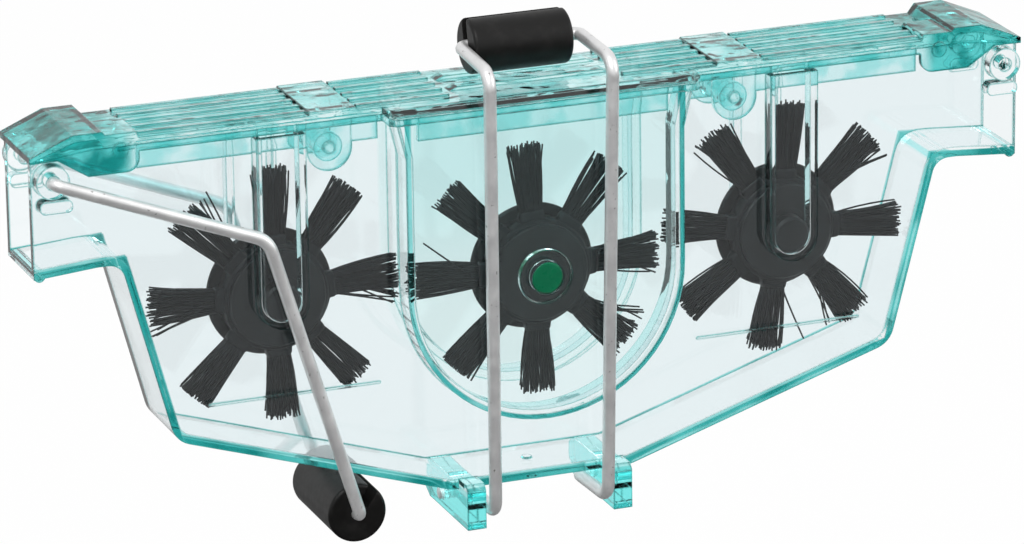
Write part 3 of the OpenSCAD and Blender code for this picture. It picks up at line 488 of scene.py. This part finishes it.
def socket_blocks(angles):
    """A rounded block at the root of each bunch: superellipse rings carried outwards along
    the bunch. levels holds the distance of each from the axle and its share of full size."""
    around = np.linspace(0, 2 * math.pi, 24, endpoint=False)
    c, s = np.cos(around), np.sin(around)
    side = np.sign(c) * np.abs(c) ** socket_squareness
    deep = np.sign(s) * np.abs(s) ** socket_squareness
    levels = np.array([(ring_radius - 2.0 * MM, 1.0), (ring_radius + 0.2 * MM, 1.0),
                       (ring_radius + 1.4 * MM, 0.96), (ring_radius + 2.0 * MM, 0.86),
                       (ring_radius + 2.05 * MM, 0.5)])
    half_w, half_d = root_width / 2 + socket_side, root_depth / 2 + socket_front
    points, faces, start = [], [], 0
    count, rings = len(around), len(levels)
    grid = np.arange(count * rings).reshape(rings, count)
    following = np.roll(grid, -1, axis=1)
    walls = np.stack([grid[:-1], grid[1:], following[1:], following[:-1]], axis=-1).reshape(-1, 4)
    for angle in angles:
        a = math.radians(angle)
        out = np.broadcast_to(levels[:, :1], (rings, count))
        w = levels[:, 1:] * side * half_w
        d = levels[:, 1:] * deep * half_d
        points.append(np.stack([out * math.cos(a) - w * math.sin(a), d,
                                out * math.sin(a) + w * math.cos(a)], axis=-1).reshape(-1, 3))
        faces += (walls + start).tolist()
        faces += [(grid[0] + start).tolist(), (grid[-1] + start)[::-1].tolist()]
        start += count * rings
    return np.concatenate(points), faces


def joined(parts):
    """One list of vertices and faces from several."""
    vertices, faces, start = [], [], 0
    for points, polygons in parts:
        vertices.append(points)
        faces += [[v + start for v in polygon] for polygon in polygons]
        start += len(points)
    return np.concatenate(vertices), faces


bristle_nylon = strand_material()
# For each brush the angles of its eight bunches, and for some bunches how many strands stray
# and how far they lean
brushes = {
    "left": ([90, 52, 4, -48, -87, -132, 178, 135], {2: (7, -0.5), 6: (6, 0.5), 7: (4, -0.6)}),
    "middle": ([95, 52, 2, -43, -90, -133, 178, 136], {3: (8, 0.6), 6: (1, -0.9), 2: (3, -0.2)}),
    "right": ([124, 87, 42, -3, -51, -99, -146, 172],
              {0: (5, 0.5), 2: (5, -0.4), 4: (3, -0.7), 5: (1, 0.9)}),
}
for number, (side, (angles, strays)) in enumerate(brushes.items()):
    _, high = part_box(side + "_bristles")
    hub_low, hub_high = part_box(side + "_brush_hub")
    axis = Vector(((hub_low.x + hub_high.x) / 2, 0, (hub_low.z + hub_high.z) / 2))
    centre = np.array([axis.x, high.y - ring_half - ring_shift, axis.z])
    paths, radii = strands(angles, strays, first_seed + number)
    tuft_points, tuft_faces = tubes(paths + centre, radii)
    y0, y1 = -ring_half + ring_shift, ring_half + ring_shift
    profile = np.array([(ring_inside, y0), (ring_inside, y1), (ring_radius - ring_bevel, y1),
                        (ring_radius, y1 - ring_bevel), (ring_radius, y0 + ring_bevel),
                        (ring_radius - ring_bevel, y0)])
    ring_points, ring_faces = revolved(profile, centre)
    block_points, block_faces = socket_blocks(angles)
    points, faces = joined([(tuft_points, tuft_faces), (ring_points, ring_faces.tolist()),
                            (block_points + centre, block_faces)])
    mesh = bpy.data.meshes.new(side + "_tufts")
    mesh.from_pydata(points.tolist(), [], faces)
    mesh.materials.append(bristle_nylon)
    mesh.shade_smooth()
    mesh.update()
    tufts = bpy.data.objects.new(side + "_tufts", mesh)
    bpy.context.scene.collection.objects.link(tufts)
    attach(tufts, side + "_brush")
    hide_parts(side + "_bristles")

# Rubber rollers: split black rubber sleeves pushed over the wire of the clamp and of the
# arm, with a satin skin, a fine grain and faint marks of the mould.
rubber = moulded_black("Black rubber", (0.005, 0.0048, 0.0046, 1), (0.02, 0.019, 0.018, 1),
                       gloss=0.22, smoothest=0.32, roughest=0.5, grain=800.0,
                       round_edge=0.4 * MM)
for name in ("clamp_roller", "arm_roller"):
    dress(name, rubber)


# Steel wire: 3 mm galvanised spring wire, bent cold, with long faint draw lines, a dull
# zinc bloom and dark specks. The clamp and the arm are one bent length each.
wire_radius, wire_end = 1.5 * MM, 0.35 * MM
zinc_tones = (0.64, 0.64, 0.65, 1), (0.88, 0.88, 0.875, 1)
zinc_low, zinc_high, zinc_smoothest, zinc_roughest = 0.3, 0.7, 0.3, 0.46
speck_tone, speck_low, speck_high, speck_full = (0.12, 0.115, 0.11, 1), 0.68, 0.76, 0.8


def galvanised_wire():
    """Zinc over steel; the draw lines are noise stretched along the wire's own map."""
    material, tree, shader, _ = new_material("Galvanised wire")
    shader.inputs["Metallic"].default_value = 0.6
    chart = add_node(tree, "ShaderNodeUVMap", (-1100, 0), uv_map="Along")
    stretch = add_node(tree, "ShaderNodeMapping", (-900, 0), Scale=(9.0, 90.0, 1.0))
    lines = add_node(tree, "ShaderNodeTexNoise", (-700, 0), Scale=3.0, Detail=4.0,
                     Roughness=0.7)
    place = add_node(tree, "ShaderNodeTexCoord", (-1100, -400))
    bloom = add_node(tree, "ShaderNodeTexNoise", (-700, -300), Scale=260.0, Detail=5.0,
                     Roughness=0.6)
    specks = add_node(tree, "ShaderNodeTexNoise", (-700, -600), Scale=900.0, Detail=3.0)
    for a, b in ((chart.outputs["UV"], stretch.inputs["Vector"]),
                 (stretch.outputs["Vector"], lines.inputs["Vector"]),
                 (place.outputs["Object"], bloom.inputs["Vector"]),
                 (place.outputs["Object"], specks.inputs["Vector"])):
        tree.links.new(a, b)
    tone = blend(tree, (-400, 100), bloom.outputs["Fac"], *zinc_tones)
    speck_share = ramp(tree, (-450, -600), specks.outputs["Fac"], speck_low, speck_high,
                       0.0, speck_full)
    colour = blend(tree, (-150, 100), speck_share, tone, speck_tone)
    tree.links.new(colour, shader.inputs["Base Color"])
    tree.links.new(ramp(tree, (-200, -200), bloom.outputs["Fac"], zinc_low, zinc_high,
                        zinc_smoothest, zinc_roughest), shader.inputs["Roughness"])
    bump = add_node(tree, "ShaderNodeBump", (0, -400), Strength=0.25, Distance=0.0001)
    tree.links.new(lines.outputs["Fac"], bump.inputs["Height"])
    tree.links.new(bump.outputs["Normal"], shader.inputs["Normal"])
    return material


def bent_line(corners, bends, step=8):
    """A line through corners with a round bend at each inner one: the bend touches both
    edges, and its arc is cut into equal turns."""
    corners = np.array(corners, float)
    line = [corners[0]]
    for k in range(1, len(corners) - 1):
        back = corners[k - 1] - corners[k]
        on = corners[k + 1] - corners[k]
        back /= np.linalg.norm(back)
        on /= np.linalg.norm(on)
        turn = math.pi - math.acos(float(np.clip(back @ on, -1, 1)))
        inward = back + on
        inward /= np.linalg.norm(inward)
        centre = corners[k] + inward * bends[k - 1] / math.cos(turn / 2)
        first = corners[k] + back * bends[k - 1] * math.tan(turn / 2) - centre
        axis = np.cross(first, corners[k] - centre)
        axis /= np.linalg.norm(axis)
        for share in np.linspace(0, 1, step + 1):
            a = share * turn
            line.append(centre + first * math.cos(a) + np.cross(axis, first) * math.sin(a))
    line.append(corners[-1])
    return np.array(line)


def wire_mesh(name, line, radius, material, sides=32):
    """A round bar swept along a line, with rounded ends: each ring's frame is the last one
    turned as little as possible, and its map runs round the bar and along it in metres."""
    direction = np.diff(line, axis=0)
    length = np.linalg.norm(direction, axis=1)
    direction /= length[:, None]
    tangent = np.vstack([direction[:1], direction[:-1] + direction[1:], direction[-1:]])
    tangent /= np.linalg.norm(tangent, axis=1)[:, None]
    inset = np.array([0.0, 0.3, 0.7, 1.0])
    shrink = 1 - wire_end / radius * (1 - np.sqrt(1 - (1 - inset) ** 2))
    head = line[0] + tangent[0] * inset[:, None] * wire_end
    tail = line[-1] - tangent[-1] * inset[::-1, None] * wire_end
    middle = line[1:-1]
    path = np.vstack([head, middle, tail])
    tangents = np.vstack([np.repeat(tangent[:1], len(inset), 0), tangent[1:-1],
                          np.repeat(tangent[-1:], len(inset), 0)])
    radii = radius * np.concatenate([shrink, np.ones(len(middle)), shrink[::-1]])
    normal = np.cross(tangents[0], [0.3, 0.5, 0.8])
    normals = []
    for t in tangents:
        normal = normal - t * (normal @ t)
        normal /= np.linalg.norm(normal)
        normals.append(normal)
    normals = np.array(normals)
    side = np.cross(tangents, normals)
    turn = np.arange(sides) * 2 * math.pi / sides
    rings = (normals[:, None] * np.cos(turn)[:, None] + side[:, None] * np.sin(turn)[:, None])
    points = path[:, None] + rings * radii[:, None, None]
    grid = np.arange(len(path) * sides).reshape(len(path), sides)
    following = np.roll(grid, -1, axis=1)
    walls = np.stack([grid[:-1], following[:-1], following[1:], grid[1:]], axis=-1).reshape(-1, 4)
    faces = walls.tolist() + [grid[0][::-1].tolist(), grid[-1].tolist()]
    mesh = bpy.data.meshes.new(name)
    mesh.from_pydata(points.reshape(-1, 3).tolist(), [], faces)
    mesh.materials.append(material)
    along = np.concatenate([[0], np.cumsum(np.linalg.norm(np.diff(path, axis=0), axis=1))])
    chart = mesh.uv_layers.new(name="Along")
    loop_vertex = np.zeros(len(mesh.loops), int)
    mesh.loops.foreach_get("vertex_index", loop_vertex)
    u = (loop_vertex % sides) / sides
    corner = np.arange(len(walls) * 4) % 4
    u[:len(walls) * 4] += ((u[:len(walls) * 4] == 0) & ((corner == 1) | (corner == 2)))
    v = along[loop_vertex // sides]
    chart.data.foreach_set("uv", np.stack([u, v], axis=1).astype(np.float32).ravel())
    mesh.polygons.foreach_set("use_smooth", np.full(len(mesh.polygons), True))
    mesh.update()
    made = bpy.data.objects.new(name, mesh)
    bpy.context.scene.collection.objects.link(made)
    return made


def both_ways(half, mirror):
    """A half line followed by its mirror image, taken backwards."""
    half = np.array(half, float)
    return np.vstack([half, (half * mirror)[::-1]])


wire_steel = galvanised_wire()
middle_y = 2.34 * MM
clamp_low, clamp_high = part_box("clamp_wire")
pivot_y, bar_y = middle_y + 1.0 * MM, middle_y + 0.4 * MM
leg_top_y = clamp_low.y + wire_radius
leg_low_y = leg_top_y + 2.75 * MM
clamp_z0, clamp_z1 = clamp_low.z + wire_radius, clamp_high.z - wire_radius
shoulder_z = clamp_z1 - 1.0 * MM
heel_x, leg_low_x, leg_top_x, bar_x = np.array([13.2, 13.9, 14.9, 14.5]) * MM
half_clamp = [
    (clamp_high.x, pivot_y, clamp_z0), (heel_x, pivot_y, clamp_z0),
    (leg_low_x, leg_low_y, clamp_z0), (leg_top_x, leg_top_y, shoulder_z),
    (bar_x, bar_y, clamp_z1)]
clamp_bends = np.array([2.2, 3.5, 4.0, 1.8]) * MM
clamp_line = bent_line(both_ways(half_clamp, [-1, 1, 1]),
                       np.concatenate([clamp_bends, clamp_bends[::-1]]))
clamp = wire_mesh("clamp_bail", clamp_line, wire_radius, wire_steel)
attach(clamp, "clamp")
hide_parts("clamp_wire")

arm_low, arm_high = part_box("support_arm")
arm_y = (arm_high.y - arm_low.y) / 2 - wire_radius
arm_mid = (arm_high.y + arm_low.y) / 2
boss_x, boss_z = arm_low.x + wire_radius, arm_high.z - wire_radius
upper_run, upper_drop, lower_run, pin_length = np.array([48.96, 19.0, 20.592, 6.3]) * MM
elbow_x, elbow_z = boss_x + upper_run, boss_z - upper_drop
end_x, end_z = elbow_x + lower_run, arm_low.z + wire_radius
half_arm = [(boss_x, -arm_y + pin_length, boss_z), (boss_x, -arm_y, boss_z),
            (elbow_x, -arm_y, elbow_z), (end_x, -arm_y, end_z)]
arm_bends = np.array([1.8, 6.0, 2.0]) * MM
arm_line = bent_line(both_ways(half_arm, [1, -1, 1]),
                     np.concatenate([arm_bends, arm_bends[::-1]]))
arm_line[:, 1] += arm_mid
arm = wire_mesh("arm_bail", arm_line, wire_radius, wire_steel)
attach(arm, "arm")
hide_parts("support_arm")

# Studio: a white floor well below, so that the clamp can swing down to its stop, a white
# surround, one wide soft light above to the left, a weaker one from the right, and a long
# lens a metre and a half away at the photograph's angle.
floor_mesh = bpy.data.meshes.new("studio_floor")
reach, drop = 8.0, -0.12
floor_mesh.from_pydata([(-reach, -reach, drop), (reach, -reach, drop), (reach, reach, drop),
                        (-reach, reach, drop)], [], [(0, 1, 2, 3)])
floor = bpy.data.objects.new("studio_floor", floor_mesh)
bpy.context.scene.collection.objects.link(floor)


# Ray Depth is 1 on a ray that has met one surface, and more on those thrown on from it
one_meeting = 1.5


def kinds_of_ray(tree, place):
    """The light path, a mask of rays that the eye follows straight, through the plastic or
    round inside it, and a mask of rays mirrored by the first surface that they meet."""
    path = add_node(tree, "ShaderNodeLightPath", place).outputs
    thrown = calc(tree, (place[0] + 200, place[1] - 300), "MULTIPLY", path["Is Glossy Ray"], calc(
        tree, (place[0] + 100, place[1] - 400), "GREATER_THAN", path["Ray Depth"], one_meeting))
    through = calc(tree, (place[0] + 200, place[1]), "MAXIMUM", path["Is Camera Ray"],
                   path["Is Transmission Ray"])
    through = calc(tree, (place[0] + 300, place[1]), "MAXIMUM", through, thrown)
    mirrored = calc(tree, (place[0] + 400, place[1] - 200), "GREATER_THAN", calc(
        tree, (place[0] + 300, place[1] - 300), "SUBTRACT", path["Is Glossy Ray"], through), 0.5)
    return path, through, mirrored


# Floor: white of its own light to the eye and through the plastic, and dimmer in the first
# reflection, most in front, where the real room was darker; it catches a faint shadow
front_y, back_y, floor_dim_front, floor_dim_back = 0.0, 0.5, 0.94, 0.3
floor_glow, floor_white_tone = 0.985, (0.9, 0.9, 0.9, 1)
floor_paint = bpy.data.materials.new("White floor")
floor_paint.use_nodes = True
floor_tree = floor_paint.node_tree
floor_tree.nodes.clear()
floor_out = add_node(floor_tree, "ShaderNodeOutputMaterial", (600, 0))
floor_lit = add_node(floor_tree, "ShaderNodeBsdfDiffuse", (0, 100), Color=floor_white_tone)
floor_white = add_node(floor_tree, "ShaderNodeEmission", (0, -100), Strength=1.0)
floor_mix = add_node(floor_tree, "ShaderNodeMixShader", (300, 0))
_, floor_seen, floor_mirrored = kinds_of_ray(floor_tree, (-900, 300))
_, floor_spot = split_place(floor_tree, (-1100, 700), "Object")
floor_dim = ramp(floor_tree, (-600, 700), floor_spot["Y"], front_y, back_y, floor_dim_front,
                 floor_dim_back)
floor_dim = calc(floor_tree, (-400, 600), "MULTIPLY", floor_dim, floor_mirrored)
floor_tree.links.new(calc(floor_tree, (-200, 600), "SUBTRACT", 1.0, floor_dim),
                     floor_white.inputs["Strength"])
floor_share = calc(floor_tree, (-200, 300), "MAXIMUM", floor_seen, floor_mirrored)
floor_share = calc(floor_tree, (-50, 300), "MULTIPLY", floor_share, floor_glow)
for a, b in ((floor_share, floor_mix.inputs["Fac"]),
             (floor_lit.outputs["BSDF"], floor_mix.inputs[1]),
             (floor_white.outputs["Emission"], floor_mix.inputs[2]),
             (floor_mix.outputs["Shader"], floor_out.inputs["Surface"])):
    floor_tree.links.new(a, b)
floor_mesh.materials.append(floor_paint)

# Surround: white to the eye and through the plastic, dimmer in the first reflection, more
# so in front. Rays bent by the plastic see four dark teal cards at the corners of the room,
# which draw teal lines along its edges; ambient is the strength of its light on surfaces
ambient = 0.34
sky_front, sky_back, mirrored_front, mirrored_back = -0.1, 0.3, 0.2, 0.4
card_count, card_edge, card_full = 4.0, -0.35, -0.75
card_teal = (0.03, 0.26, 0.245, 1)
world = bpy.data.worlds.new("Studio surround")
bpy.context.scene.world = world
world.use_nodes = True
sky = world.node_tree
sky.nodes.clear()
sky_out = add_node(sky, "ShaderNodeOutputWorld", (900, 0))
sky_light = add_node(sky, "ShaderNodeBackground", (600, 0))
_, sky_spot = split_place(sky, (-900, -300), "Generated")
sky_angle = calc(sky, (-500, -300), "ARCTAN2", sky_spot["Y"], sky_spot["X"])
sky_wave = calc(sky, (-100, -300), "COSINE", calc(
    sky, (-300, -300), "MULTIPLY", sky_angle, card_count))
open_sky = ramp(sky, (100, -300), sky_wave, card_edge, card_full, 1.0, 0.0)
sky_path, sky_through, _ = kinds_of_ray(sky, (-900, 300))
sky_dim = ramp(sky, (0, -100), sky_spot["Y"], sky_front, sky_back, mirrored_front,
               mirrored_back)
soft_sky = blend(sky, (250, 200), sky_path["Is Glossy Ray"], ambient,
                 calc(sky, (150, 0), "MULTIPLY", open_sky, sky_dim), "FLOAT")
soft_sky = blend(sky, (350, 200), sky_through, soft_sky, 1.0, "FLOAT")
sky.links.new(soft_sky, sky_light.inputs["Strength"])
card_share = calc(sky, (250, 500), "MULTIPLY", sky_path["Is Transmission Ray"], calc(
    sky, (100, 500), "SUBTRACT", 1.0, sky_path["Is Camera Ray"]))
card_share = calc(sky, (400, 500), "MULTIPLY", card_share, calc(
    sky, (250, 400), "SUBTRACT", 1.0, open_sky))
sky.links.new(blend(sky, (500, 400), card_share, (1, 1, 1, 1), card_teal),
              sky_light.inputs["Color"])
sky.links.new(sky_light.outputs["Background"], sky_out.inputs["Surface"])


def soft_light(name, place, target, size, power):
    """A square soft box at a place, facing a target."""
    lamp = bpy.data.lights.new(name, "AREA")
    lamp.size = size
    lamp.energy = power
    made = bpy.data.objects.new(name, lamp)
    made.location = place
    made.rotation_euler = (Vector(target) - Vector(place)).to_track_quat("-Z", "Y").to_euler()
    bpy.context.scene.collection.objects.link(made)


part_middle = (0, 0, 0.06)
soft_light("overhead_left", (-0.5, -0.7, 1.1), part_middle, size=0.7, power=11.0)
soft_light("right_fill", (1.0, -0.6, 0.6), part_middle, size=0.6, power=4.5)

azimuth, elevation, roll = (math.radians(v) for v in (-20.72, 18.33, -0.79))
back = Vector((math.sin(azimuth) * math.cos(elevation), -math.cos(azimuth) * math.cos(elevation),
               math.sin(elevation)))
level = Vector((math.cos(azimuth), math.sin(azimuth), 0))
upward = level.cross(-back)
right = level * math.cos(roll) + upward * math.sin(roll)
upward = upward * math.cos(roll) - level * math.sin(roll)
lens = bpy.data.cameras.new("product_lens")
lens.lens, lens.sensor_width = 226.4, 36.0
lens.clip_start, lens.clip_end = 0.05, 50.0
camera = bpy.data.objects.new("product_camera", lens)
target, distance = Vector((-0.00274, middle_y, 0.05563)), 1.48372
view = Matrix((right, upward, back)).transposed().to_4x4()
view.translation = target + back * distance
camera.matrix_world = view
bpy.context.scene.collection.objects.link(camera)
bpy.context.scene.camera = camera
bpy.context.scene.view_settings.view_transform = "Standard"
